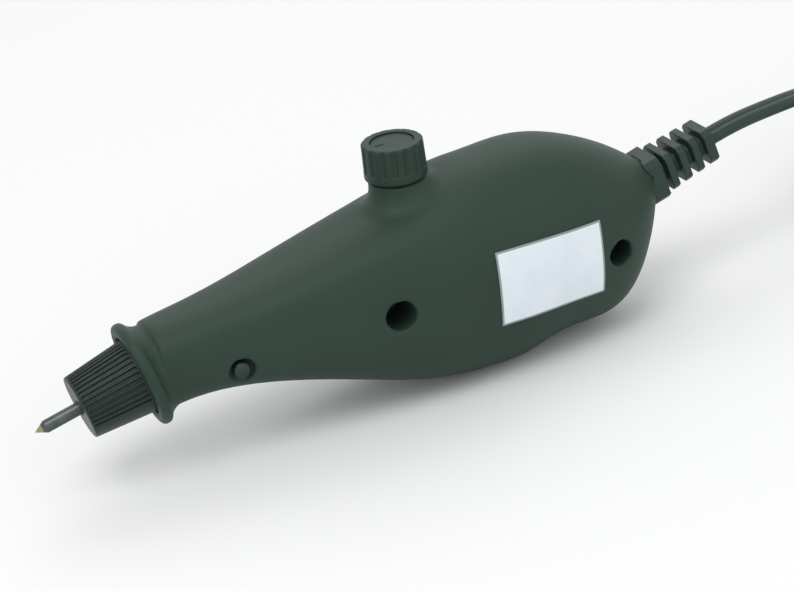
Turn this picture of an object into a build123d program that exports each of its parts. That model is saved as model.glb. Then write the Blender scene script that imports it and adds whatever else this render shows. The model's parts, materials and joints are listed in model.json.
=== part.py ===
"""Electric vibrating engraver: moulded teardrop housing, electromagnet hammer, stroke knob, mains cord.

Millimetres. The tip points to -X, the cord leaves to +X, the stroke knob stands up (+Z).
The housing splits on the plane y = 0. The origin is the middle of the flat under the belly.
"""
from build123d import *
from math import atan, cos, degrees, hypot, pi, radians, sin, tan
import os

os.makedirs("parts", exist_ok=True)

# ---- driving dimensions -------------------------------------------------------------------
# Housing outline: station along X, top, bottom, half width and squareness of the section.
HOUSING_SECTIONS = [
    (-84.0, 36.0, 15.9, 10.2, 2.3),
    (-72.0, 36.8, 16.9, 11.0, 2.8),
    (-60.0, 38.3, 15.0, 12.7, 3.1),
    (-48.0, 40.5, 11.5, 14.8, 3.2),
    (-34.0, 43.5, 6.2, 17.2, 3.0),
    (-16.0, 47.7, 0.6, 19.6, 2.65),
    (-4.0, 49.9, -0.9, 20.3, 2.4),
    (8.0, 50.4, 0.5, 20.3, 2.3),
    (20.0, 48.6, 1.5, 19.7, 2.3),
    (30.0, 44.3, 3.4, 17.8, 2.2),
    (37.0, 39.9, 11.0, 13.7, 2.1),
    (41.6, 36.2, 18.4, 9.0, 2.0),
    (43.8, 35.0, 24.6, 6.0, 2.0),
]
SECTION_POINTS = 24
WALL = 2.2

# Tool axis: the line of the stylus, nose down.
NOSE_TILT = 10.7
NOSE_X, NOSE_Z = -87.1, 24.9
FLANGE_RADIUS = 12.6
FLANGE_THICK = 2.8
FLANGE_ROUND = 1.1
NOSE_BLEND_LENGTH = 4.5
NOSE_NECK_RADIUS = 10.1
NOSE_SOLID_END = 13.0

RUNNING = 0.05
CLEAR = 0.3

STYLUS_RADIUS = 1.5
STYLUS_REACH = 26.9
STYLUS_POINT = 2.6
CARBIDE_LENGTH = 1.7
STYLUS_SEAT = 0.5

CHUCK_RADIUS = 3.8
CHUCK_FRONT = -11.5
CHUCK_END = 5.5
SET_SCREW_AT = -8.6
SET_SCREW_RADIUS = 1.2

ROD_RADIUS = 1.8
STROKE = 0.6

CONE_FRONT = -15.8
CONE_REAR = 0.2
CONE_FRONT_RADIUS = 7.5
CONE_REAR_RADIUS = 8.9
CONE_BAND = 1.2
CONE_FRONT_WALL = 2.4
CONE_HOLE_CLEAR = 0.4
RIB_PITCH = 9.0
RIB_COUNT = 24
GROOVE_WIDTH = 0.75
GROOVE_DEPTH = 0.6

SLEEVE_RADIUS = 6.2
SLEEVE_BORE = 4.2
SLEEVE_FRONT = -5.5
SLEEVE_END = 12.0
SLEEVE_COLLAR = 1.2
SLEEVE_COLLAR_AT = (6.0, 8.0)
O_RING_WIRE = 0.6
O_RING_RADIUS = 7.7

LEAF_AT = 44.0
LEAF_THICK = 0.5
LEAF_HALF_LENGTH = 12.0
LEAF_HALF_WIDTH = 4.0
COLLAR_RADIUS = 3.6
COLLAR_LENGTH = 2.4
GUIDE_AT = (60.0, 64.0)
GUIDE_RADIUS = 3.8

ARMATURE_FRONT = 76.0
ARMATURE_THICK = 3.5
ARMATURE_U = (-27.5, 4.8)
ARMATURE_HALF_WIDTH = 10.0
ROD_END = 82.0
NUT_RADIUS = 2.8

AIR_GAP = 1.4
CORE_DEPTH = 25.0
CORE_U = (-28.0, -5.0)
CORE_ARM = 4.0
CORE_BACK = 5.0
CORE_POLE_HALF = 3.0
CORE_HALF_THICK = 9.0
LAMINATIONS = 12
LAMINATION_GAP = 0.08
RIVET_RADIUS = 1.2
RIVET_HEAD = 2.0

BOBBIN_WALL = 0.95
BOBBIN_FLANGE = 1.0
BOBBIN_FLANGE_HALF = (7.1, 14.0)
WINDING_HALF = (6.5, 12.8)
TAPE_THICK = 0.3

BRACKET_THICK = 1.2
BRACKET_SCREW_V = 11.8
BRACKET_SCREW_U = -9.0
BRACKET_SCREW_RADIUS = 1.3

# Stroke knob and its cam.
KNOB_X, KNOB_Z = -19.0, 50.9
KNOB_LEAN = -1.5
KNOB_HEIGHT = 8.7
KNOB_BASE_RADIUS = 7.35
KNOB_TOP_RADIUS = 7.15
KNOB_FLUTES = 16
KNOB_FLUTE_RADIUS = 0.75
KNOB_SKIRT = 2.3
KNOB_RECESS_RADIUS = 5.1
KNOB_RECESS_DEPTH = 0.9
KNOB_CAP_THICK = 0.5
NECK_RADIUS = 6.7
NECK_DEPTH = 12.0
NECK_SWEEP = 5.5
SHAFT_RADIUS = 2.5
BUSH_RADIUS = 4.1
BUSH_DEPTH = 7.4
CAM_RADIUS = 4.4
CAM_OFFSET = 0.9
CAM_THICK = 1.4
CLIP_THICK = 0.5

# Housing screws: X, Z, counterbore radius, head radius, head depth below the skin, post radius.
HOUSING_SCREWS = [
    (-67.3, 22.9, 3.05, 2.0, 0.4, 2.8),
    (-30.2, 25.8, 3.6, 3.0, 8.5, 4.9),
    (26.1, 22.5, 3.2, 2.8, 6.0, 4.4),
]
POST_RADIUS = 2.7
SCREW_RADIUS = 1.4
SCREW_HEAD_THICK = 1.8
SCREW_ENGAGE = 7.0

# Rating plate.
LABEL_X, LABEL_Z = 7.1, 24.4
LABEL_LENGTH, LABEL_HEIGHT = 27.6, 18.4
LABEL_TURN = 2.4
LABEL_THICK = 0.25

# Cord exit and strain relief.
EXIT_X, EXIT_Z = 44.4, 29.9
EXIT_RISE = 13.6
CORD_THICK = 3.0
CORD_WIDTH = 6.0
RELIEF_NECK = (3.3, 3.9)
RELIEF_INNER = (4.2, 4.8)
RELIEF_BLOCK = (5.7, 5.6)
RELIEF_BLOCK_RANGE = (-3.4, 2.9)
RELIEF_WEB = (2.5, 3.2)
RELIEF_RIB = (4.9, 5.4)
RELIEF_RIBS = 4
RELIEF_PITCH = 3.8
RELIEF_RIB_THICK = 1.9
RELIEF_FIRST_RIB = 4.3
RELIEF_LENGTH = 18.2
CLAMP_S = (-12.6, -8.0)
CLAMP_SCREW_Y = 6.2
CLAMP_SCREW_RADIUS = 1.2
WIRE_RADIUS = 0.8
CRIMP_RADIUS = 1.2

# Stored length of the cord.
LEAD_ROUTE = [(62.09, 0.0, 34.18), (69.09, 0.0, 35.87), (82.2, 0.9, 36.3), (94.5, 4.2, 34.9),
              (106.5, 9.6, 31.6), (118.0, 15.0, 27.5), (128.0, 17.8, 24.6), (136.5, 18.4, 23.2)]
HANK_X = 158.0
HANK_STRAIGHT = 62.0
HANK_WIDTH = 40.0
HANK_LANES = 6.6
HANK_HEIGHT = 24.6
TIE_THICK = 0.6
TIE_WIDTH = 6.0
TIE_CLEAR = 0.1
TAIL_ROUTE = [(197.0, 16.6, 3.9), (207.0, 12.2, 4.3), (216.0, 7.4, 5.4), (224.5, 3.6, 6.4), (233.0, 1.0, 7.0)]
PLUG_LENGTH, PLUG_WIDTH, PLUG_HEIGHT = 30.0, 24.0, 14.0
BLADE_LENGTH, BLADE_WIDTH, BLADE_THICK = 17.5, 6.3, 1.5
BLADE_SPACING = 12.7

# ---- frames -------------------------------------------------------------------------------
tilt = radians(NOSE_TILT)
lean = radians(KNOB_LEAN)
rise = radians(EXIT_RISE)
# In each frame local z runs along the piece: tailward, up the knob, or out along the cord.
tool_frame = Plane(origin=(NOSE_X, 0, NOSE_Z), x_dir=(-sin(tilt), 0, cos(tilt)),
                   z_dir=(cos(tilt), 0, sin(tilt)))
knob_frame = Plane(origin=(KNOB_X, 0, KNOB_Z), x_dir=(cos(lean), 0, sin(lean)),
                   z_dir=(-sin(lean), 0, cos(lean)))
exit_frame = Plane(origin=(EXIT_X, 0, EXIT_Z), x_dir=(-sin(rise), 0, cos(rise)),
                   z_dir=(cos(rise), 0, sin(rise)))


def placed(frame, shape):
    return frame.location * shape


def disc(radius, start, end, x=0.0, y=0.0):
    cylinder = Cylinder(radius, end - start, align=(Align.CENTER, Align.CENTER, Align.MIN))
    return Pos(x, y, start) * cylinder


def ring(outer, inner, start, end, x=0.0, y=0.0):
    return disc(outer, start, end, x, y) - disc(inner, start - 1, end + 1, x, y)


def taper(radius_start, radius_end, start, end):
    cone = Cone(radius_start, radius_end, end - start, align=(Align.CENTER, Align.CENTER, Align.MIN))
    return Pos(0, 0, start) * cone


def block(u_range, half_y, a_range, y=0.0):
    u_mid = (u_range[0] + u_range[1]) / 2
    a_mid = (a_range[0] + a_range[1]) / 2
    return Pos(u_mid, y, a_mid) * Box(u_range[1] - u_range[0], 2 * half_y, a_range[1] - a_range[0])


def post_y(x, z, radius, y_start, y_end):
    """A round post whose axis runs along Y."""
    length = y_end - y_start
    return Pos(x, (y_start + y_end) / 2, z) * Rot(90, 0, 0) * Cylinder(radius, length)


def save(shape, name):
    export_step(shape, f"parts/{name}.step")


def group(solids):
    return Compound(children=list(solids))


# ---- housing ------------------------------------------------------------------------------
def section_at(x, top, bottom, half_width, squareness):
    middle = (top + bottom) / 2
    half_height = (top - bottom) / 2
    points = []
    for i in range(SECTION_POINTS):
        turn = 2 * pi * i / SECTION_POINTS
        c, s = cos(turn), sin(turn)
        y = half_width * (1 if c >= 0 else -1) * abs(c) ** (2 / squareness)
        z = middle + half_height * (1 if s >= 0 else -1) * abs(s) ** (2 / squareness)
        points.append((x, y, z))
    return make_face(Spline(points, periodic=True))


def teardrop(offset, stations):
    faces = [section_at(x, top - offset, bottom + offset, half - offset, square)
             for x, top, bottom, half, square in stations]
    return loft(faces)


def half_width_at(x):
    """Half width of the housing at a station, by straight lines between sections."""
    for low, high in zip(HOUSING_SECTIONS, HOUSING_SECTIONS[1:]):
        if low[0] <= x <= high[0]:
            share = (x - low[0]) / (high[0] - low[0])
            return low[3] + share * (high[3] - low[3])
    return HOUSING_SECTIONS[-1][3]


def nose_blend():
    """The round collar behind the flange, hollowed by a concave sweep to the neck."""
    start = FLANGE_THICK / 2
    end = start + NOSE_BLEND_LENGTH
    rim = FLANGE_RADIUS - FLANGE_ROUND
    sweep_middle = (NOSE_NECK_RADIUS + 0.25 * (rim - NOSE_NECK_RADIUS), start + 0.3 * NOSE_BLEND_LENGTH)
    outline = Polyline((NOSE_NECK_RADIUS, end), (0, end), (0, 0), (rim, 0), (rim, start))
    hollow = ThreePointArc((rim, start), sweep_middle, (NOSE_NECK_RADIUS, end))
    face = make_face([outline, hollow])
    turned = Plane.XZ.location * face
    return revolve(turned, Axis.Z)


def on_neck(edge):
    """True for the edge where the neck under the knob meets the housing."""
    places = [knob_frame.to_local_coords(edge @ share) for share in (0, 0.25, 0.5, 0.75)]
    return all(abs(hypot(p.X, p.Y) - NECK_RADIUS) < 0.01 and p.Z < -0.5 for p in places)


flange = disc(FLANGE_RADIUS, -FLANGE_THICK / 2, FLANGE_THICK / 2)
flange = fillet(flange.edges().filter_by(GeomType.CIRCLE), FLANGE_ROUND)
body_outer = teardrop(0, HOUSING_SECTIONS)
body_outer = body_outer + placed(tool_frame, flange) + placed(tool_frame, nose_blend())
body_outer = body_outer + placed(knob_frame, disc(NECK_RADIUS, -NECK_DEPTH, 0))
body_outer = fillet([edge for edge in body_outer.edges() if on_neck(edge)], NECK_SWEEP)
ground_cut = Pos(0, 0, -25) * Box(400, 100, 50)
body_outer = body_outer - ground_cut

cavity = teardrop(WALL, HOUSING_SECTIONS[1:-1])
cavity = cavity - placed(tool_frame, disc(4 * FLANGE_RADIUS, -20, NOSE_SOLID_END))

web_guide = placed(tool_frame, block((-8, 8), 30, GUIDE_AT))
web_leaf = placed(tool_frame, block((-6, 6), 30, (LEAF_AT - 3, LEAF_AT + LEAF_THICK + 3)))
web_leaf = web_leaf - placed(tool_frame, block((-7, 7), LEAF_HALF_LENGTH - 2.5, (LEAF_AT - 4, LEAF_AT + 5)))
post_top = BRACKET_SCREW_U + 3
post_start = ARMATURE_FRONT + ARMATURE_THICK + AIR_GAP + CORE_DEPTH + 0.2 + BRACKET_THICK
bracket_posts = [placed(tool_frame, block((BRACKET_SCREW_U - 3, post_top), 8, (post_start, post_start + 6), side * 17))
                 for side in (-1, 1)]
clamp_bar = placed(exit_frame, block((-8, -CORD_THICK / 2 - 0.1), 30, CLAMP_S))

inside_parts = web_guide + web_leaf + clamp_bar
for post in bracket_posts:
    inside_parts = inside_parts + post
for x, z, bore, head_radius, sink, post in HOUSING_SCREWS:
    skin = -half_width_at(x)
    wide = post_y(x, z, post, skin - 5, skin + sink + SCREW_HEAD_THICK + 1.0)
    inside_parts = inside_parts + wide + post_y(x, z, POST_RADIUS, skin, 40)
inside_parts = inside_parts & cavity

shell = body_outer - cavity
shell = shell + inside_parts

# Bores along the tool axis.
nose_recess = disc(CONE_REAR_RADIUS + 0.7, -10, FLANGE_THICK / 2 + 0.4)
sleeve_seat = disc(SLEEVE_RADIUS, -10, NOSE_SOLID_END + 1)
collar_seat = disc(SLEEVE_RADIUS + SLEEVE_COLLAR, *SLEEVE_COLLAR_AT)
rod_way = disc(SLEEVE_BORE, NOSE_SOLID_END, NOSE_SOLID_END + 8)
guide_seat = disc(GUIDE_RADIUS, GUIDE_AT[0] - 1, GUIDE_AT[1] + 1)
leaf_slot = block((-LEAF_HALF_WIDTH - 0.1, LEAF_HALF_WIDTH + 0.1), LEAF_HALF_LENGTH + 0.1,
                  (LEAF_AT - 0.1, LEAF_AT + LEAF_THICK + 0.1))
for cut in (nose_recess, sleeve_seat, collar_seat, rod_way, guide_seat, leaf_slot):
    shell = shell - placed(tool_frame, cut)

# Bush hole, cord hole and the pilot holes of the bracket and clamp screws.
shell = shell - placed(knob_frame, disc(BUSH_RADIUS, -20, 5))
neck_hole = block((-RELIEF_NECK[0] - 0.1, RELIEF_NECK[0] + 0.1), RELIEF_NECK[1] + 0.1, (-8, 6))
shell = shell - placed(exit_frame, neck_hole)
relief_pocket = block((-RELIEF_INNER[0] - 0.1, RELIEF_INNER[0] + 0.1), RELIEF_INNER[1] + 0.1, (-5.4, -2.7))
shell = shell - placed(exit_frame, relief_pocket)
for side in (-1, 1):
    pilot = disc(BRACKET_SCREW_RADIUS + RUNNING, post_start - 1, post_start + 5, BRACKET_SCREW_U, side * BRACKET_SCREW_V)
    shell = shell - placed(tool_frame, pilot)
    clamp_pilot = Pos(-4, side * CLAMP_SCREW_Y, sum(CLAMP_S) / 2) * Rot(0, 90, 0) * Cylinder(
        CLAMP_SCREW_RADIUS + RUNNING, 8.5)
    shell = shell - placed(exit_frame, clamp_pilot)


screws = []
for x, z, bore, head_radius, sink, post in HOUSING_SCREWS:
    skin = -half_width_at(x)
    seat = skin + sink + SCREW_HEAD_THICK
    shell = shell - post_y(x, z, bore, skin - 5, seat)
    shell = shell - post_y(x, z, SCREW_RADIUS + 2 * RUNNING, seat - 1, 0)
    shell = shell - post_y(x, z, SCREW_RADIUS + RUNNING, 0, SCREW_ENGAGE + 0.5)
    head = post_y(x, z, head_radius, seat - SCREW_HEAD_THICK, seat)
    head = fillet(head.edges().sort_by(Axis.Y)[0], 0.8)
    slot_a = Pos(x, seat - SCREW_HEAD_THICK, z) * Box(1.9, 1.2, 0.4)
    slot_b = Pos(x, seat - SCREW_HEAD_THICK, z) * Box(0.4, 1.2, 1.9)
    screw = head + post_y(x, z, SCREW_RADIUS, seat, SCREW_ENGAGE)
    screws.append(screw - slot_a - slot_b if sink > SCREW_HEAD_THICK else screw)
save(group(screws), "housing_screws")

left_room = Pos(0, -50, 0) * Box(400, 100, 400)
right_room = Pos(0, 50, 0) * Box(400, 100, 400)
save(shell & left_room, "housing_left")
save(shell & right_room, "housing_right")

# ---- rating plate -------------------------------------------------------------------------
plate_room = Pos(LABEL_X, -20, LABEL_Z) * Rot(0, LABEL_TURN, 0) * Box(LABEL_LENGTH, 20, LABEL_HEIGHT)
plate_skin = teardrop(-LABEL_THICK, HOUSING_SECTIONS) - teardrop(0, HOUSING_SECTIONS)
save(plate_skin & plate_room, "rating_label")

# ---- stylus -------------------------------------------------------------------------------
point_start = -STYLUS_REACH
carbide_end = point_start + CARBIDE_LENGTH
cone_end = point_start + STYLUS_POINT
carbide_radius = STYLUS_RADIUS * CARBIDE_LENGTH / STYLUS_POINT
tip = taper(0.05, carbide_radius, point_start, carbide_end)
shank = taper(carbide_radius, STYLUS_RADIUS, carbide_end, cone_end) + disc(STYLUS_RADIUS, cone_end, STYLUS_SEAT)
save(placed(tool_frame, tip), "stylus_tip")
save(placed(tool_frame, shank), "stylus_shank")

# ---- chuck, rod and armature --------------------------------------------------------------
stylus_bore = disc(STYLUS_RADIUS + RUNNING, CHUCK_FRONT - 1, STYLUS_SEAT + CLEAR)
rod_start = STYLUS_SEAT + CLEAR + 0.8
rod_socket = disc(ROD_RADIUS + RUNNING, rod_start, CHUCK_END + 1)
screw_hole = Pos(3, 0, SET_SCREW_AT) * Rot(0, 90, 0) * Cylinder(SET_SCREW_RADIUS + RUNNING, 6)
chuck = disc(CHUCK_RADIUS, CHUCK_FRONT, CHUCK_END)
chuck = chamfer(chuck.edges().filter_by(GeomType.CIRCLE), 0.4)
chuck = chuck - stylus_bore - rod_socket - screw_hole
save(placed(tool_frame, chuck), "chuck")

screw_low = STYLUS_RADIUS + RUNNING + 0.02
screw_top = CHUCK_RADIUS - 0.2
set_screw = Pos((screw_low + screw_top) / 2, 0, SET_SCREW_AT) * Rot(0, 90, 0) * Cylinder(
    SET_SCREW_RADIUS, screw_top - screw_low)
set_screw = set_screw - Pos(screw_top, 0, SET_SCREW_AT) * Box(1.0, 4, 0.4)
save(placed(tool_frame, set_screw), "chuck_set_screw")

save(placed(tool_frame, disc(ROD_RADIUS, rod_start, ROD_END)), "plunger_rod")

collar_gap = 0.1
collar_front = ring(COLLAR_RADIUS, ROD_RADIUS + RUNNING, LEAF_AT - collar_gap - COLLAR_LENGTH, LEAF_AT - collar_gap)
leaf_back = LEAF_AT + LEAF_THICK
collar_rear = ring(COLLAR_RADIUS, ROD_RADIUS + RUNNING, leaf_back + collar_gap, leaf_back + collar_gap + COLLAR_LENGTH)
save(placed(tool_frame, group([collar_front, collar_rear])), "spring_collars")

leaf = block((-LEAF_HALF_WIDTH, LEAF_HALF_WIDTH), LEAF_HALF_LENGTH, (LEAF_AT, leaf_back))
leaf = leaf - disc(ROD_RADIUS + 0.2, LEAF_AT - 1, leaf_back + 1)
save(placed(tool_frame, leaf), "leaf_spring")

armature_rear = ARMATURE_FRONT + ARMATURE_THICK
armature = block(ARMATURE_U, ARMATURE_HALF_WIDTH, (ARMATURE_FRONT, armature_rear))
armature = chamfer(armature.edges().filter_by(Axis.Z), 2.0)
armature = armature - disc(ROD_RADIUS + RUNNING, ARMATURE_FRONT - 1, armature_rear + 1)
save(placed(tool_frame, armature), "armature")

nut_blank = extrude(RegularPolygon(NUT_RADIUS, 6), 2.0)
nut = Pos(0, 0, armature_rear) * nut_blank - disc(ROD_RADIUS + RUNNING, armature_rear - 1, armature_rear + 4)
save(placed(tool_frame, nut), "armature_nut")

# ---- nose cone, sleeve and bushes ---------------------------------------------------------
cone_wall_slope = atan((CONE_REAR_RADIUS - CONE_FRONT_RADIUS) / (CONE_REAR - CONE_BAND - CONE_FRONT))
cone_length = CONE_REAR - CONE_FRONT
cone_body = taper(CONE_FRONT_RADIUS, CONE_REAR_RADIUS, CONE_FRONT, CONE_REAR - CONE_BAND)
cone_body = cone_body + disc(CONE_REAR_RADIUS, CONE_REAR - CONE_BAND, CONE_REAR)
cone_body = fillet(cone_body.edges().sort_by(Axis.Z)[0], 0.5)
cone_body = cone_body - disc(STYLUS_RADIUS + CONE_HOLE_CLEAR, CONE_FRONT - 1, CONE_REAR)
cone_body = cone_body - disc(CHUCK_RADIUS + 0.8, CONE_FRONT + CONE_FRONT_WALL, CONE_REAR + 1)
cone_body = cone_body - disc(SLEEVE_RADIUS + CLEAR, SLEEVE_FRONT - 0.6, CONE_REAR + 1)
groove_middle = (CONE_FRONT + CONE_REAR - CONE_BAND) / 2
groove_radius = (CONE_FRONT_RADIUS + CONE_REAR_RADIUS) / 2
groove_length = CONE_REAR - CONE_BAND - CONE_FRONT - 1.0
groove_blank = Pos(groove_radius, 0, groove_middle) * Rot(0, degrees(cone_wall_slope), 0) * Box(
    2 * GROOVE_DEPTH, GROOVE_WIDTH, groove_length)
for i in range(RIB_COUNT):
    cone_body = cone_body - Rot(0, 0, (i - (RIB_COUNT - 1) / 2) * RIB_PITCH) * groove_blank
save(placed(tool_frame, cone_body), "nose_cone")

o_ring_at = CONE_REAR + O_RING_WIRE + 0.15
save(placed(tool_frame, Pos(0, 0, o_ring_at) * Torus(O_RING_RADIUS, O_RING_WIRE)), "cone_o_ring")

sleeve = ring(SLEEVE_RADIUS - RUNNING, SLEEVE_BORE, SLEEVE_FRONT, SLEEVE_END)
sleeve = sleeve + ring(SLEEVE_RADIUS + SLEEVE_COLLAR - RUNNING, SLEEVE_BORE, SLEEVE_COLLAR_AT[0] + RUNNING,
                       SLEEVE_COLLAR_AT[1] - RUNNING)
save(placed(tool_frame, sleeve), "nose_sleeve")

save(placed(tool_frame, ring(SLEEVE_BORE - RUNNING, ROD_RADIUS + RUNNING, CHUCK_END + 1.0, SLEEVE_END)), "nose_bush")
guide_bush = ring(GUIDE_RADIUS - RUNNING, ROD_RADIUS + RUNNING, *GUIDE_AT)
guide_bush = guide_bush + ring(GUIDE_RADIUS + 1.2, ROD_RADIUS + RUNNING, GUIDE_AT[0] - 1.0, GUIDE_AT[0])
save(placed(tool_frame, guide_bush), "guide_bush")

# ---- electromagnet ------------------------------------------------------------------------
core_front = armature_rear + AIR_GAP
core_rear = core_front + CORE_DEPTH
core_middle = (CORE_U[0] + CORE_U[1]) / 2
back_start = core_rear - CORE_BACK
sheet_pitch = 2 * CORE_HALF_THICK / LAMINATIONS
sheet_half = (sheet_pitch - LAMINATION_GAP) / 2
rivet_places = [(u, a) for u in (CORE_U[0] + CORE_ARM / 2, CORE_U[1] - CORE_ARM / 2)
                for a in (core_front + 3, core_rear - CORE_BACK / 2)]
sheets = []
for i in range(LAMINATIONS):
    y = -CORE_HALF_THICK + (i + 0.5) * sheet_pitch
    sheet = block(CORE_U, sheet_half, (back_start, core_rear), y)
    sheet = sheet + block((CORE_U[0], CORE_U[0] + CORE_ARM), sheet_half, (core_front, core_rear), y)
    sheet = sheet + block((CORE_U[1] - CORE_ARM, CORE_U[1]), sheet_half, (core_front, core_rear), y)
    pole = (core_middle - CORE_POLE_HALF, core_middle + CORE_POLE_HALF)
    sheet = sheet + block(pole, sheet_half, (core_front, core_rear), y)
    for u, a in rivet_places:
        sheet = sheet - post_y(u, a, RIVET_RADIUS + RUNNING, -20, 20)
    sheets.append(sheet)
save(placed(tool_frame, group(sheets)), "core_laminations")

rivets = []
for u, a in rivet_places:
    rivet = post_y(u, a, RIVET_RADIUS, -CORE_HALF_THICK - 0.8, CORE_HALF_THICK + 0.8)
    rivet = rivet + post_y(u, a, RIVET_HEAD, CORE_HALF_THICK, CORE_HALF_THICK + 0.8)
    rivet = rivet + post_y(u, a, RIVET_HEAD, -CORE_HALF_THICK - 0.8, -CORE_HALF_THICK)
    rivets.append(rivet)
save(placed(tool_frame, group(rivets)), "core_rivets")


def frame_block(outer_half, inner_half, a_range):
    """A rectangular tube round the centre pole."""
    outer = block((core_middle - outer_half[0], core_middle + outer_half[0]), outer_half[1], a_range)
    inner = block((core_middle - inner_half[0], core_middle + inner_half[0]), inner_half[1],
                  (a_range[0] - 1, a_range[1] + 1))
    return outer - inner


spool_inner = (CORE_POLE_HALF + 0.2, CORE_HALF_THICK + 0.2)
spool_outer = (spool_inner[0] + BOBBIN_WALL, spool_inner[1] + BOBBIN_WALL)
spool_start, spool_end = core_front + 1.0, back_start - 0.3
bobbin = frame_block(spool_outer, spool_inner, (spool_start, spool_end))
bobbin = bobbin + frame_block(BOBBIN_FLANGE_HALF, spool_inner, (spool_start, spool_start + BOBBIN_FLANGE))
bobbin = bobbin + frame_block(BOBBIN_FLANGE_HALF, spool_inner, (spool_end - BOBBIN_FLANGE, spool_end))
save(placed(tool_frame, bobbin), "coil_bobbin")

wire_room = (spool_start + BOBBIN_FLANGE + 0.1, spool_end - BOBBIN_FLANGE - 0.1)
spool_clear = (spool_outer[0] + RUNNING, spool_outer[1] + RUNNING)
winding = frame_block(WINDING_HALF, spool_clear, wire_room)
winding = fillet(winding.edges().filter_by(Axis.Z).sort_by(lambda e: -e.center().Y ** 2)[:4], 1.8)
save(placed(tool_frame, winding), "coil_winding")
tape_inner = (WINDING_HALF[0] + RUNNING, WINDING_HALF[1] + RUNNING)
tape_outer = (tape_inner[0] + TAPE_THICK, tape_inner[1] + TAPE_THICK)
save(placed(tool_frame, frame_block(tape_outer, tape_inner, (wire_room[0] + 3, wire_room[1] - 3))), "coil_tape")

bracket_range = (core_rear + 0.1, core_rear + 0.1 + BRACKET_THICK)
bracket = block((CORE_U[0] + 4, CORE_U[1] + 1), CORE_HALF_THICK, bracket_range)
bracket = bracket + block((BRACKET_SCREW_U - 3, BRACKET_SCREW_U + 3), BRACKET_SCREW_V + 2.2, bracket_range)
bracket_screws = []
for side in (-1, 1):
    y = side * BRACKET_SCREW_V
    bracket = bracket - disc(BRACKET_SCREW_RADIUS + 0.2, bracket_range[0] - 1, bracket_range[1] + 1, BRACKET_SCREW_U, y)
    screw = disc(BRACKET_SCREW_RADIUS, bracket_range[0] - 0.5, post_start + 4.5, BRACKET_SCREW_U, y)
    screw = screw + disc(1.9, bracket_range[0] - 1.6, bracket_range[0], BRACKET_SCREW_U, y)
    bracket_screws.append(screw)
save(placed(tool_frame, bracket), "core_bracket")
save(placed(tool_frame, group(bracket_screws)), "bracket_screws")

pad_range = (armature_rear + STROKE + 0.05, core_front)
save(placed(tool_frame, block((CORE_U[1] - CORE_ARM, CORE_U[1]), 6, pad_range)), "damper_pad")

# ---- stroke knob --------------------------------------------------------------------------
knob_low, knob_high = 0.3, 0.3 + KNOB_HEIGHT
knob = taper(KNOB_BASE_RADIUS, KNOB_TOP_RADIUS, knob_low, knob_high)
knob = fillet(knob.edges().sort_by(Axis.Z)[-1], 0.6)
knob = chamfer(knob.edges().sort_by(Axis.Z)[0], 0.5)
knob = knob - disc(KNOB_RECESS_RADIUS, knob_high - KNOB_RECESS_DEPTH, knob_high + 1)
flute_middle = (KNOB_BASE_RADIUS + KNOB_TOP_RADIUS) / 2 + 0.25
flute_slope = degrees(atan((KNOB_BASE_RADIUS - KNOB_TOP_RADIUS) / KNOB_HEIGHT))
flute = Pos(flute_middle, 0, knob_low + KNOB_SKIRT + KNOB_HEIGHT / 2) * Rot(0, -flute_slope, 0) * Cylinder(
    KNOB_FLUTE_RADIUS, KNOB_HEIGHT)
for i in range(KNOB_FLUTES):
    knob = knob - Rot(0, 0, 360 * i / KNOB_FLUTES) * flute
shaft_top = knob_high - KNOB_RECESS_DEPTH - 1.6
knob = knob - disc(SHAFT_RADIUS + RUNNING, knob_low - 1, shaft_top + 0.1)
save(placed(knob_frame, knob), "knob")

cap_low = knob_high - KNOB_RECESS_DEPTH
cap = disc(KNOB_RECESS_RADIUS - 0.15, cap_low, cap_low + KNOB_CAP_THICK)
cap = cap - Pos(-KNOB_RECESS_RADIUS * 0.62, 0, cap_low + KNOB_CAP_THICK) * Box(2.2, 0.7, 0.5)
save(placed(knob_frame, cap), "knob_cap")

cam_top = -BUSH_DEPTH - CLIP_THICK - 0.5
shaft = disc(SHAFT_RADIUS, cam_top - CAM_THICK, shaft_top) + disc(CAM_RADIUS, cam_top - CAM_THICK, cam_top, -CAM_OFFSET)
clip_low = -BUSH_DEPTH - CLIP_THICK - 0.1
shaft = shaft - ring(SHAFT_RADIUS + 1, SHAFT_RADIUS - 0.4, clip_low - 0.05, clip_low + CLIP_THICK + 0.05)
save(placed(knob_frame, shaft), "adjuster_cam")
clip = ring(SHAFT_RADIUS + 1.2, SHAFT_RADIUS - 0.35, clip_low, clip_low + CLIP_THICK)
clip = clip - Pos(3, 0, clip_low) * Box(5, 2.4, 3)
save(placed(knob_frame, clip), "retaining_clip")
bush = ring(BUSH_RADIUS - RUNNING, SHAFT_RADIUS + RUNNING, -BUSH_DEPTH, 0)
save(placed(knob_frame, bush), "adjuster_bush")

# ---- strain relief, clamp and wires -------------------------------------------------------
def bevelled(half, s_range, bevel=1.2):
    piece = block((-half[0], half[0]), half[1], s_range)
    return chamfer(piece.edges().filter_by(Axis.Z), bevel)


relief = bevelled(RELIEF_INNER, (-5.2, -2.8)) + block((-RELIEF_NECK[0], RELIEF_NECK[0]), RELIEF_NECK[1], (-3, 1.5))
relief = relief + bevelled(RELIEF_WEB, (1.3, RELIEF_LENGTH), 0.8)
for i in range(RELIEF_RIBS):
    start = RELIEF_FIRST_RIB + i * RELIEF_PITCH
    shrink = 0.12 * i
    end = RELIEF_LENGTH if i == RELIEF_RIBS - 1 else start + RELIEF_RIB_THICK
    relief = relief + bevelled((RELIEF_RIB[0] - shrink, RELIEF_RIB[1] - shrink), (start, end))
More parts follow.
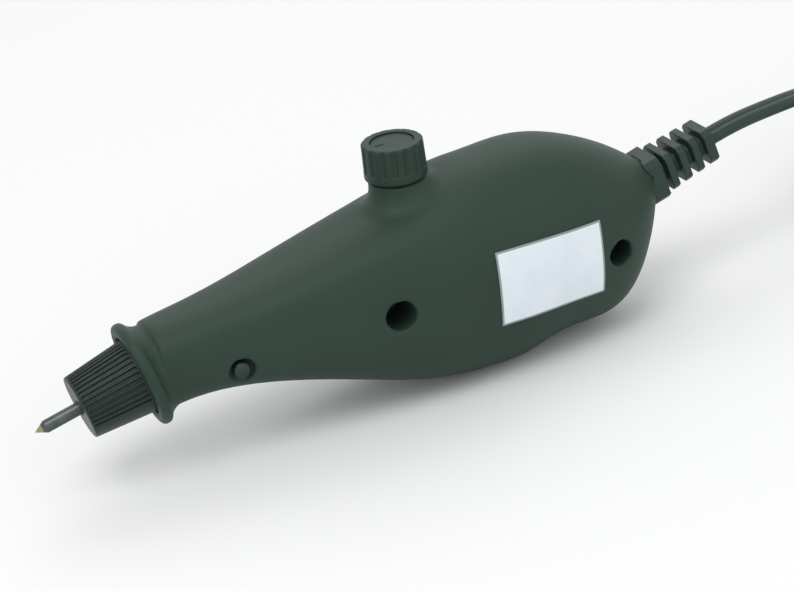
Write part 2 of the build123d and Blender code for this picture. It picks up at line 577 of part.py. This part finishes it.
# The first block is hollowed to sit round the end of the housing.
seated_block = placed(exit_frame, bevelled(RELIEF_BLOCK, RELIEF_BLOCK_RANGE)) - teardrop(-0.1, HOUSING_SECTIONS)
relief = placed(exit_frame, relief) + seated_block.solids().sort_by(Axis.X)[-1]
save(relief, "strain_relief")

stub_start, stub_end = CLAMP_S[0] - 1.4, -5.2
stub = block((-CORD_THICK / 2, CORD_THICK / 2), CORD_WIDTH / 2, (stub_start, stub_end))
stub = fillet(stub.edges().filter_by(Axis.Z), CORD_THICK / 2 - 0.1)
save(placed(exit_frame, stub), "inner_cord")

clamp_low = CORD_THICK / 2 + 0.05
clamp_top = clamp_low + 1.5
clamp = block((clamp_low, clamp_top), CLAMP_SCREW_Y + 2.0, (CLAMP_S[0] + 0.3, CLAMP_S[1] - 0.3))
clamp_screws = []
for side in (-1, 1):
    spot = Pos(0, side * CLAMP_SCREW_Y, sum(CLAMP_S) / 2) * Rot(0, 90, 0)
    clamp = clamp - spot * Cylinder(CLAMP_SCREW_RADIUS + 0.1, 20)
    shank_low = -CORD_THICK / 2 - 4.5
    shank = spot * Pos(0, 0, (shank_low + clamp_top) / 2) * Cylinder(CLAMP_SCREW_RADIUS, clamp_top - shank_low)
    cap_screw = spot * Pos(0, 0, clamp_top + 0.7) * Cylinder(CLAMP_SCREW_RADIUS + 0.8, 1.4)
    clamp_screws.append(shank + cap_screw)
save(placed(exit_frame, clamp), "cord_clamp")
save(placed(exit_frame, group(clamp_screws)), "clamp_screws")

wire_start = stub_start - 0.4
stub_x = EXIT_X + wire_start * cos(rise)
stub_z = EXIT_Z + wire_start * sin(rise)
wires, crimps = [], []
for side in (-1, 1):
    points = [(stub_x, side * 1.4, stub_z), (stub_x - 1.6, side * 2.4, stub_z + 0.3), (24.8, side * 10.6, 29.2),
              (16.2, side * 11.3, 29.0)]
    path = FilletPolyline(*points, radius=1.4)
    face = Plane(origin=path @ 0, z_dir=path % 0) * Circle(WIRE_RADIUS)
    wires.append(sweep(face, path=path))
    middle = Vector(*points[1]) + (Vector(*points[2]) - Vector(*points[1])) * 0.5
    along = Vector(*points[2]) - Vector(*points[1])
    crimps.append(Plane(origin=middle, z_dir=along).location * ring(CRIMP_RADIUS, WIRE_RADIUS + RUNNING, -2.5, 2.5))
save(group(wires), "lead_wires")
save(group(crimps), "crimp_connectors")

# ---- stored cord --------------------------------------------------------------------------
def bend_radii(points):
    radii = []
    for before, here, after in zip(points, points[1:], points[2:]):
        first, second = Vector(*here) - Vector(*before), Vector(*after) - Vector(*here)
        half_turn = radians(first.get_angle(second)) / 2
        radii.append(0.45 * min(first.length, second.length) / tan(half_turn))
    return radii


def cord_tube(points, thick, wide, sideways):
    radii = bend_radii(points)
    print("cord radii", [round(r, 1) for r in radii])
    path = FilletPolyline(*points, radius=radii)
    start = Plane(origin=path @ 0, x_dir=sideways, z_dir=path % 0)
    tube = sweep(start * RectangleRounded(wide, thick, thick / 2 - 0.05), path=path)
    section = (wide - thick) * thick + pi * thick ** 2 / 4
    print("cord length", round(path.length, 1), "volume", round(tube.volume, 1), "of", round(section * path.length, 1))
    return tube


save(cord_tube(LEAD_ROUTE, CORD_THICK, CORD_WIDTH, (0, 1, 0)), "cord_lead")
save(cord_tube(TAIL_ROUTE, CORD_THICK, CORD_WIDTH, (0, 0, 1)), "cord_tail")

hank_low = TIE_THICK + TIE_CLEAR
hank_outline = SlotCenterToCenter(HANK_STRAIGHT, HANK_WIDTH)
hank_outline = hank_outline - SlotCenterToCenter(HANK_STRAIGHT, HANK_WIDTH - 2 * HANK_LANES)
hank = fillet(extrude(hank_outline, HANK_HEIGHT).edges().group_by(Axis.Z)[-1], 1.2)
save(Pos(HANK_X, 0, hank_low) * hank, "cord_hank")

tie_hole = (HANK_WIDTH + 2 * TIE_CLEAR, HANK_HEIGHT + 2 * TIE_CLEAR)
tie = Box(TIE_WIDTH, tie_hole[0] + 2 * TIE_THICK, tie_hole[1] + 2 * TIE_THICK)
tie = fillet(tie.edges().filter_by(Axis.X), 1.0) - Box(2 * TIE_WIDTH, *tie_hole)
save(Pos(HANK_X, 0, tie_hole[1] / 2 + TIE_THICK) * tie, "cord_tie")

plug_x, plug_y, plug_z = TAIL_ROUTE[-1]
plug_middle = plug_x + PLUG_LENGTH / 2
plug = Pos(plug_middle, plug_y, PLUG_HEIGHT / 2) * Box(PLUG_LENGTH, PLUG_WIDTH, PLUG_HEIGHT)
plug = chamfer(plug.edges().filter_by(Axis.Z).sort_by(Axis.X)[:2], 6.0)
plug = fillet(plug.edges().filter_by(Axis.X), 3.0)
save(plug, "plug_body")
blades = []
for side in (-1, 1):
    blade_x = plug_x + PLUG_LENGTH + BLADE_LENGTH / 2
    blade = Pos(blade_x, plug_y + side * BLADE_SPACING / 2, PLUG_HEIGHT / 2) * Box(BLADE_LENGTH, BLADE_THICK, BLADE_WIDTH)
    hole = Pos(blade_x + BLADE_LENGTH / 2 - 3.5, plug_y + side * BLADE_SPACING / 2, PLUG_HEIGHT / 2) * Rot(90, 0, 0)
    blades.append(blade - hole * Cylinder(1.6, 5))
save(group(blades), "plug_blades")
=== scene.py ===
import bpy
import json
from math import cos, pi, radians, sin
from mathutils import Matrix, Vector


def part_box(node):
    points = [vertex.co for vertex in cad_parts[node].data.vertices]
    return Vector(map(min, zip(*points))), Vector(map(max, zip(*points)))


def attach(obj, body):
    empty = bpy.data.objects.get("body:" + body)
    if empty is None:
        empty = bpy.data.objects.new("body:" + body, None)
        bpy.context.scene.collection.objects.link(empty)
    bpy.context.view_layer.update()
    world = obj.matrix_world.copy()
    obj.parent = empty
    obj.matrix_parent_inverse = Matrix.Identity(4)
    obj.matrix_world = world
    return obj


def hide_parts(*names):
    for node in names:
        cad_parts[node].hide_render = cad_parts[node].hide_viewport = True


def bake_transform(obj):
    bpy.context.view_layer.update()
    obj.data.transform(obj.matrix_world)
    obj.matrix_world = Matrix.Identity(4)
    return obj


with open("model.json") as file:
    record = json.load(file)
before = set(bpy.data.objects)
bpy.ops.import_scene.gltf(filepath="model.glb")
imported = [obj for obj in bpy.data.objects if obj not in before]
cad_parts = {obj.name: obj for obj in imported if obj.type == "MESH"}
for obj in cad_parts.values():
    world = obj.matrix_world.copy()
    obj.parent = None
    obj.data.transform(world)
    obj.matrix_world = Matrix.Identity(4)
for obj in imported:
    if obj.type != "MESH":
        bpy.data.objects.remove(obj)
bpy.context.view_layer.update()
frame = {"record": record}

MM = 0.001

# ---- camera -------------------------------------------------------------------------------
VIEW_TARGET = Vector((-23.75, 0.0, 21.94)) * MM
VIEW_DISTANCE = 530 * MM
VIEW_RIGHT = Vector((0.891, -0.4284, -0.1504)).normalized()
VIEW_BACK = Vector((-0.326, -0.8342, 0.4447)).normalized()
LENS, SENSOR = 103.3, 36.0


def add_camera():
    up = VIEW_BACK.cross(VIEW_RIGHT).normalized()
    right = up.cross(VIEW_BACK)
    bpy.ops.object.camera_add(location=VIEW_TARGET + VIEW_BACK * VIEW_DISTANCE)
    camera = bpy.context.object
    turn = Matrix((right, up, VIEW_BACK)).transposed()
    camera.rotation_euler = turn.to_euler()
    camera.data.lens = LENS
    camera.data.sensor_width = SENSOR
    camera.data.clip_start, camera.data.clip_end = 0.01, 10
    bpy.context.scene.camera = camera


add_camera()

# ---- the cord's route, in metres ----------------------------------------------------------
LEAD_ROUTE = [(62.09, 0.0, 34.18), (69.09, 0.0, 35.87), (82.2, 0.9, 36.3), (94.5, 4.2, 34.9),
              (106.5, 9.6, 31.6), (118.0, 15.0, 27.5), (128.0, 17.8, 24.6), (136.5, 18.4, 23.2)]
TAIL_ROUTE = [(197.0, 16.6, 3.9), (207.0, 12.2, 4.3), (216.0, 7.4, 5.4), (224.5, 3.6, 6.4), (233.0, 1.0, 7.0)]
HANK_X = 158.0
HANK_STRAIGHT = 62.0
LANES = (18.4, 15.3)
LOW_LAYER, LAYER_STEP = 3.8, 6.1
PASSES = 8
CORD_WIDTH, CORD_THICK = 6.0, 3.0


def lane_of(run):
    """Side-to-side radius of a run of the hank: the runs go in on one layer and out on the next."""
    return LANES[0] if run % 4 in (0, 3) else LANES[1]


def layer_of(run):
    return LOW_LAYER + LAYER_STEP * ((PASSES - 1 - run) // 2)


def hank_points():
    """Runs along +X on the far side, back along the near side, and round the two ends."""
    points = []
    half = HANK_STRAIGHT / 2
    for run in range(PASSES):
        radius, height = lane_of(run), layer_of(run)
        for x in (-11.0, 11.0, 27.0) if run == 0 else (-27.0, -9.0, 9.0, 27.0):
            points.append((HANK_X + x, radius, height))
        if run == PASSES - 1:
            break
        for turn in (70, 40, 10, -20, -50, -80):
            points.append((HANK_X + half + radius * cos(radians(turn)), radius * sin(radians(turn)), height))
        for x in (22.0, 0.0, -22.0):
            points.append((HANK_X + x, -radius, height))
        next_radius, next_height = lane_of(run + 1), layer_of(run + 1)
        for i, turn in enumerate((-100, -130, -160, -190, -220, -250)):
            share = (i + 0.5) / 6
            wide = radius + (next_radius - radius) * share
            place = radians(turn)
            points.append((HANK_X - half + wide * cos(place), wide * sin(place),
                           height + (next_height - height) * share))
    return points


def cord_line():
    route = LEAD_ROUTE + hank_points() + TAIL_ROUTE
    data = bpy.data.curves.new("cord_route", "CURVE")
    data.dimensions = "3D"
    data.resolution_u = 6
    spline = data.splines.new("NURBS")
    spline.points.add(len(route) - 1)
    for point, place in zip(spline.points, route):
        point.co = (place[0] * MM, place[1] * MM, place[2] * MM, 1)
    spline.order_u = 3
    spline.use_endpoint_u = True
    holder = bpy.data.objects.new("cord_route", data)
    bpy.context.collection.objects.link(holder)
    bpy.context.view_layer.update()
    mesh = bpy.data.meshes.new_from_object(holder)
    line = [Vector(v.co) for v in mesh.vertices]
    bpy.data.objects.remove(holder)
    bpy.data.meshes.remove(mesh)
    return line


def cord_section():
    """Two round cores side by side with a web between them: width first, then thickness."""
    radius, half = CORD_THICK / 2, (CORD_WIDTH - CORD_THICK) / 2
    web = 0.55 * radius
    points = []
    for i in range(9):
        turn = radians(-122 + 244 * i / 8)
        points.append((half + radius * cos(turn), radius * sin(turn)))
    points.append((0, web))
    for i in range(9):
        turn = radians(58 + 244 * i / 8)
        points.append((-half + radius * cos(turn), radius * sin(turn)))
    points.append((0, -web))
    return [(x * MM, y * MM) for x, y in points]


def build_cord():
    line = cord_line()
    section = cord_section()
    travelled = [0.0]
    for before, here in zip(line, line[1:]):
        travelled.append(travelled[-1] + (here - before).length)
    verts, faces = [], []
    count = len(section)
    for i, place in enumerate(line):
        ahead, behind = line[min(i + 1, len(line) - 1)], line[max(i - 1, 0)]
        along = (ahead - behind).normalized()
        level = Vector((0, 0, 1)).cross(along).normalized()
        upright = along.cross(level)
        share = min(max((travelled[i] - 0.045) / 0.06, 0), 1)
        twist = radians(90) * share * share * (3 - 2 * share)
        wide = level * cos(twist) + upright * sin(twist)
        thin = along.cross(wide)
        verts += [place + wide * x + thin * y for x, y in section]
        if i:
            low = (i - 1) * count
            for k in range(count):
                after = (k + 1) % count
                faces.append((low + k, low + after, low + count + after, low + count + k))
    faces.append(tuple(reversed(range(count))))
    faces.append(tuple(range(len(verts) - count, len(verts))))
    mesh = bpy.data.meshes.new("mains_cord")
    mesh.from_pydata(verts, [], faces)
    cord = bpy.data.objects.new("mains_cord", mesh)
    bpy.context.collection.objects.link(cord)
    fix_normals(cord)
    smooth(cord, 45)
    return cord, line


# ---- modelling helpers --------------------------------------------------------------------
def pick(obj):
    bpy.ops.object.select_all(action="DESELECT")
    obj.select_set(True)
    bpy.context.view_layer.objects.active = obj


def smooth(obj, degrees_limit):
    pick(obj)
    bpy.ops.object.shade_smooth_by_angle(angle=radians(degrees_limit))


def fix_normals(obj):
    pick(obj)
    bpy.ops.object.mode_set(mode="EDIT")
    bpy.ops.mesh.select_all(action="SELECT")
    bpy.ops.mesh.normals_make_consistent(inside=False)
    bpy.ops.object.mode_set(mode="OBJECT")


def merged_copy(node, name):
    """A copy of a CAD node with its loose triangles welded."""
    source = bpy.data.objects[node]
    mesh = source.data.copy()
    piece = bpy.data.objects.new(name, mesh)
    bpy.context.collection.objects.link(piece)
    piece.matrix_world = source.matrix_world.copy()
    piece.modifiers.clear()
    pick(piece)
    bpy.ops.object.mode_set(mode="EDIT")
    bpy.ops.mesh.select_all(action="SELECT")
    bpy.ops.mesh.remove_doubles(threshold=2e-6)
    bpy.ops.object.mode_set(mode="OBJECT")
    return piece


def apply_modifier(obj, kind, **settings):
    modifier = obj.modifiers.new(kind.lower(), kind)
    for key, value in settings.items():
        setattr(modifier, key, value)
    pick(obj)
    bpy.ops.object.modifier_apply(modifier=modifier.name)


def moulded(node, name, voxel_mm, rounds=3, keep=1.0):
    """A CAD piece with the soft edges that come out of a mould."""
    piece = merged_copy(node, name)
    apply_modifier(piece, "REMESH", mode="VOXEL", voxel_size=voxel_mm * MM, use_smooth_shade=True)
    if rounds:
        apply_modifier(piece, "SMOOTH", factor=0.5, iterations=rounds)
    if keep < 1:
        apply_modifier(piece, "DECIMATE", ratio=keep)
    smooth(piece, 60)
    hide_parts(node)
    return piece


def moulded_halves(names, voxel_mm, rounds, keep):
    """The two housing halves, softened as one body so that they meet flush, then parted on y = 0."""
    left, right = (merged_copy(part, part + "_work") for part in ("housing_left", "housing_right"))
    left.data.transform(Matrix.Translation((0, 0.03 * MM, 0)))
    right.data.transform(Matrix.Translation((0, -0.03 * MM, 0)))
    pick(left)
    right.select_set(True)
    bpy.ops.object.join()
    apply_modifier(left, "REMESH", mode="VOXEL", voxel_size=voxel_mm * MM, use_smooth_shade=True)
    apply_modifier(left, "SMOOTH", factor=0.5, iterations=rounds)
    apply_modifier(left, "DECIMATE", ratio=keep)
    halves = []
    for name, part, right_side in zip(names, ("housing_left", "housing_right"), (False, True)):
        half = bpy.data.objects.new(name, left.data.copy())
        bpy.context.collection.objects.link(half)
        pick(half)
        bpy.ops.object.mode_set(mode="EDIT")
        bpy.ops.mesh.select_all(action="SELECT")
        bpy.ops.mesh.bisect(plane_co=(0, 0, 0), plane_no=(0, 1, 0), use_fill=True,
                            clear_inner=right_side, clear_outer=not right_side)
        bpy.ops.object.mode_set(mode="OBJECT")
        smooth(half, 60)
        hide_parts(part)
        halves.append(half)
    bpy.data.objects.remove(left)
    return halves


# ---- material helpers ---------------------------------------------------------------------
def linear(hex_colour):
    values = [int(hex_colour[i:i + 2], 16) / 255 for i in (1, 3, 5)]
    return tuple(v / 12.92 if v <= 0.04045 else ((v + 0.055) / 1.055) ** 2.4 for v in values) + (1,)


def node(tree, kind, links=None, **settings):
    """Add a node, set its properties and input values, and link its inputs."""
    made = tree.nodes.new(kind)
    for key, value in settings.items():
        if hasattr(made, key):
            setattr(made, key, value)
        else:
            made.inputs[key.replace("_", " ")].default_value = value
    for name, output in (links or {}).items():
        tree.links.new(output, made.inputs[name])
    return made


def finish(name, colours, rough, metallic=0.0, grain_mm=0.4, bump=0.1, blotch_mm=25.0, coat=0.0, rough_swing=0.08,
           shine=0.5):
    """Base colour that drifts between two tones, with a fine grain in the surface."""
    material = bpy.data.materials.new(name)
    material.use_nodes = True
    tree = material.node_tree
    shader = tree.nodes["Principled BSDF"]
    place = node(tree, "ShaderNodeTexCoord").outputs["Object"]
    cloud = node(tree, "ShaderNodeTexNoise", {"Vector": place}, Scale=1 / (blotch_mm * MM), Detail=4.0)
    ramp = node(tree, "ShaderNodeValToRGB", {"Fac": cloud.outputs["Fac"]})
    ramp.color_ramp.elements[0].color = linear(colours[0])
    ramp.color_ramp.elements[1].color = linear(colours[1])
    ramp.color_ramp.elements[0].position, ramp.color_ramp.elements[1].position = 0.35, 0.65
    tree.links.new(ramp.outputs["Color"], shader.inputs["Base Color"])
    grain = node(tree, "ShaderNodeTexNoise", {"Vector": place}, Scale=1 / (grain_mm * MM), Detail=3.0)
    swing = node(tree, "ShaderNodeMapRange", {"Value": cloud.outputs["Fac"]})
    swing.inputs["To Min"].default_value = rough - rough_swing
    swing.inputs["To Max"].default_value = rough + rough_swing
    tree.links.new(swing.outputs["Result"], shader.inputs["Roughness"])
    dent = node(tree, "ShaderNodeBump", {"Height": grain.outputs["Fac"]}, Strength=bump, Distance=0.05 * MM)
    tree.links.new(dent.outputs["Normal"], shader.inputs["Normal"])
    shader.inputs["Metallic"].default_value = metallic
    if coat:
        shader.inputs["Coat Weight"].default_value = coat
    shader.inputs["Specular IOR Level"].default_value = shine
    return material


# Moulded ABS, spark-eroded texture: satin, with a very fine pebble that softens highlights.
HOUSING = finish("moulded_abs_green_black", ("#263930", "#2a3d34"), 0.52, grain_mm=0.35, bump=0.35, shine=0.25)
# The turned parts are the same ABS from another mould, a little darker and smoother.
KNOB = finish("moulded_abs_knob", ("#22342c", "#263830"), 0.48, grain_mm=0.3, bump=0.25, shine=0.25)
CONE = finish("moulded_abs_nose_cone", ("#1d2d26", "#21312a"), 0.42, grain_mm=0.3, bump=0.25, shine=0.3)
# PVC lead and relief: soft satin with faint drawing marks.
CORD = finish("pvc_cord", ("#25372f", "#293b33"), 0.42, grain_mm=0.6, bump=0.15, shine=0.3)
STEEL_DARK = finish("ground_tool_steel", ("#4f5652", "#5c645f"), 0.34, metallic=1.0, grain_mm=0.15, bump=0.2, blotch_mm=3)
CARBIDE = finish("tungsten_carbide", ("#8d8668", "#a89f7c"), 0.3, metallic=1.0, grain_mm=0.1, bump=0.15, blotch_mm=1)
SCREW_STEEL = finish("black_oxide_screw_steel", ("#2b3430", "#35403b"), 0.4, metallic=0.6, grain_mm=0.2, bump=0.2, blotch_mm=4)
ZINC = finish("zinc_plated_steel", ("#a9adb0", "#bfc2c4"), 0.3, metallic=1.0, grain_mm=0.4, bump=0.1, blotch_mm=5)
SILICON_STEEL = finish("silicon_steel_lamination", ("#5d6166", "#6d7176"), 0.5, metallic=1.0, grain_mm=0.5, blotch_mm=6)
BRASS = finish("turned_brass", ("#c2a25c", "#cfae66"), 0.28, metallic=1.0, grain_mm=0.3, blotch_mm=6)
BRONZE = finish("sintered_bronze", ("#9c7444", "#ab8350"), 0.45, metallic=1.0, grain_mm=0.25, bump=0.4, blotch_mm=3)
SPRING_STEEL = finish("blued_spring_steel", ("#59606b", "#666e7a"), 0.3, metallic=1.0, grain_mm=0.4, blotch_mm=5)
COPPER = finish("enamelled_copper_wire", ("#a8552b", "#b8652f"), 0.25, metallic=0.6, grain_mm=0.4, bump=0.6, blotch_mm=4, coat=0.6)
NYLON = finish("natural_nylon", ("#ddd8c8", "#e6e2d4"), 0.4, grain_mm=0.8, blotch_mm=10)
TAPE = finish("polyester_tape", ("#d9b92c", "#e2c33a"), 0.25, grain_mm=1.0, blotch_mm=8)
RUBBER = finish("nitrile_rubber", ("#1d1f1e", "#232625"), 0.65, grain_mm=0.3, bump=0.3, blotch_mm=5)
WIRE = finish("pvc_wire_insulation", ("#dcdcd8", "#e6e6e2"), 0.4, grain_mm=0.5, blotch_mm=8)
NICKEL = finish("nickel_plated_brass", ("#c6c3b6", "#d3d0c4"), 0.22, metallic=1.0, grain_mm=0.5, bump=0.06, blotch_mm=8)


def rating_plate():
    """Silvered polyester film with a thin dark rule round a bare face."""
    material = finish("polyester_film_plate", ("#dbe3ec", "#e2e9f0"), 0.42, grain_mm=0.5, bump=0.12, blotch_mm=6)
    tree = material.node_tree
    shader = tree.nodes["Principled BSDF"]
    paper = shader.inputs["Base Color"].links[0].from_socket
    place = node(tree, "ShaderNodeTexCoord").outputs["Object"]
    low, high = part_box("rating_label")
    centre = [-(a + b) / 2 for a, b in zip(low, high)]
    moved = node(tree, "ShaderNodeVectorMath", {0: place}, operation="ADD")
    moved.inputs[1].default_value = centre
    turned = node(tree, "ShaderNodeVectorRotate", {"Vector": moved.outputs[0]}, rotation_type="Y_AXIS")
    turned.inputs["Angle"].default_value = radians(-2.4)
    split = node(tree, "ShaderNodeSeparateXYZ", {"Vector": turned.outputs[0]})
    edges = []
    for axis, half in (("X", 13.8), ("Z", 9.2)):
        size = node(tree, "ShaderNodeMath", {0: split.outputs[axis]}, operation="ABSOLUTE")
        inner = node(tree, "ShaderNodeMath", {0: size.outputs[0]}, operation="GREATER_THAN")
        inner.inputs[1].default_value = (half - 0.45) * MM
        edges.append(inner.outputs[0])
    border = node(tree, "ShaderNodeMath", {0: edges[0], 1: edges[1]}, operation="MAXIMUM")
    mix = node(tree, "ShaderNodeMix", {"Factor": border.outputs[0]}, data_type="RGBA")
    tree.links.new(paper, mix.inputs[6])
    mix.inputs[7].default_value = linear("#8b9596")
    tree.links.new(mix.outputs[2], shader.inputs["Base Color"])
    return material


PLATE = rating_plate()

SLOT_FINISH = {
    "housing_abs": HOUSING, "knob_abs": KNOB, "screw_steel": SCREW_STEEL, "blued_steel": SPRING_STEEL,
    "tool_steel": STEEL_DARK, "carbide": CARBIDE, "brass": BRASS, "bronze": BRONZE, "spring_steel": SPRING_STEEL,
    "electrical_steel": SILICON_STEEL, "enamelled_copper": COPPER, "nylon": NYLON, "tape_yellow": TAPE,
    "rubber": RUBBER, "zinc_steel": ZINC, "label_film": PLATE, "cord_pvc": CORD, "wire_white": WIRE,
    "plated_brass": NICKEL,
}


def coat_with(obj, material):
    obj.data.materials.clear()
    obj.data.materials.append(material)


slot_of = {entry["node"]: entry["material_slot"] for entry in frame["record"]["subparts"]}
for part_node, slot_name in slot_of.items():
    part_object = bpy.data.objects.get(part_node)
    if part_object is not None:
        for part_slot in part_object.material_slots:
            part_slot.material = SLOT_FINISH[slot_name]

# ---- pieces -------------------------------------------------------------------------------
PIECES = [
    # node, piece, body, voxel in mm, smoothing rounds, share of faces kept, finish
    ("nose_cone", "ribbed_nose_cone", "nose_cone", 0.16, 1, 0.7, CONE),
    ("knob", "fluted_stroke_knob", "knob", 0.16, 2, 0.7, KNOB),
    ("knob_cap", "knob_centre_disc", "knob", 0.1, 1, 0.5, KNOB),
    ("strain_relief", "ribbed_strain_relief", "root", 0.2, 2, 0.7, CORD),
    ("housing_screws", "housing_screw_set", "root", 0.12, 1, 0.4, SCREW_STEEL),
    ("plug_body", "mains_plug_body", "root", 0.4, 3, 0.6, CORD),
    ("cord_tie", "cord_tie_band", "root", 0.2, 1, 0.6, RUBBER),
]
for shell, part_node in zip(moulded_halves(("housing_shell_left", "housing_shell_right"), 0.5, 5, 0.8),
                            ("housing_left", "housing_right")):
    coat_with(shell, HOUSING)
    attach(shell, "root")


def flexing_spring():
    """The leaf spring in two halves, parted on y = 0, each cut across at 1 mm steps along its arm."""
    for name, side in (("spring_arm_left", -1), ("spring_arm_right", 1)):
        arm = merged_copy("leaf_spring", name)
        pick(arm)
        bpy.ops.object.mode_set(mode="EDIT")
        bpy.ops.mesh.select_all(action="SELECT")
        bpy.ops.mesh.bisect(plane_co=(0, 0, 0), plane_no=(0, 1, 0), use_fill=True,
                            clear_inner=side > 0, clear_outer=side < 0)
        for step in range(3, 11):
            bpy.ops.mesh.select_all(action="SELECT")
            bpy.ops.mesh.bisect(plane_co=(0, side * step * MM, 0), plane_no=(0, 1, 0))
        bpy.ops.object.mode_set(mode="OBJECT")
        coat_with(arm, SPRING_STEEL)
        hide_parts("leaf_spring")
        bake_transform(arm)


flexing_spring()
for part_node, piece_name, body, voxel, rounds, keep, look in PIECES:
    piece = moulded(part_node, piece_name, voxel, rounds, keep)
    coat_with(piece, look)
    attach(piece, body)

cord, cord_path = build_cord()
coat_with(cord, CORD)
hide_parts("cord_lead", "cord_hank", "cord_tail")
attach(cord, "root")


# ---- floor, backdrop and light ------------------------------------------------------------
def pale_floor():
    bpy.ops.mesh.primitive_plane_add(size=6, location=(0, 0, -0.0002))
    floor = bpy.context.object
    floor.name = "floor"
    material = bpy.data.materials.new("pale_floor")
    material.use_nodes = True
    tree = material.node_tree
    shader = tree.nodes["Principled BSDF"]
    shader.inputs["Base Color"].default_value = linear("#f4f4f4")
    shader.inputs["Roughness"].default_value = 0.9
    floor.data.materials.append(material)


def white_world():
    world = bpy.data.worlds.new("studio")
    bpy.context.scene.world = world
    world.use_nodes = True
    tree = world.node_tree
    tree.nodes.clear()
    rays = node(tree, "ShaderNodeLightPath")
    light = node(tree, "ShaderNodeBackground", Color=linear("#f8faf9"), Strength=0.75)
    shown = node(tree, "ShaderNodeBackground", Color=linear("#ffffff"), Strength=1.0)
    seen = node(tree, "ShaderNodeMath", {0: rays.outputs["Is Camera Ray"], 1: rays.outputs["Is Glossy Ray"]},
                operation="MAXIMUM")
    mix = node(tree, "ShaderNodeMixShader", {0: seen.outputs[0]})
    tree.links.new(light.outputs[0], mix.inputs[1])
    tree.links.new(shown.outputs[0], mix.inputs[2])
    out = node(tree, "ShaderNodeOutputWorld")
    tree.links.new(mix.outputs[0], out.inputs["Surface"])


def soft_lamp(name, place, power, size):
    data = bpy.data.lights.new(name, "AREA")
    data.energy, data.size = power, size
    lamp = bpy.data.objects.new(name, data)
    lamp.location = place
    aim = Vector((-0.02, 0, 0.03)) - Vector(place)
    lamp.rotation_euler = aim.to_track_quat("-Z", "Y").to_euler()
    bpy.context.collection.objects.link(lamp)


pale_floor()
white_world()
soft_lamp("key", (-0.35, -0.35, 0.95), 3.6, 0.6)
soft_lamp("fill", (0.35, -1.0, 0.5), 1.0, 0.8)
soft_lamp("back", (0.3, 0.6, 0.85), 1.6, 0.6)
bpy.context.scene.view_settings.view_transform = "Standard"
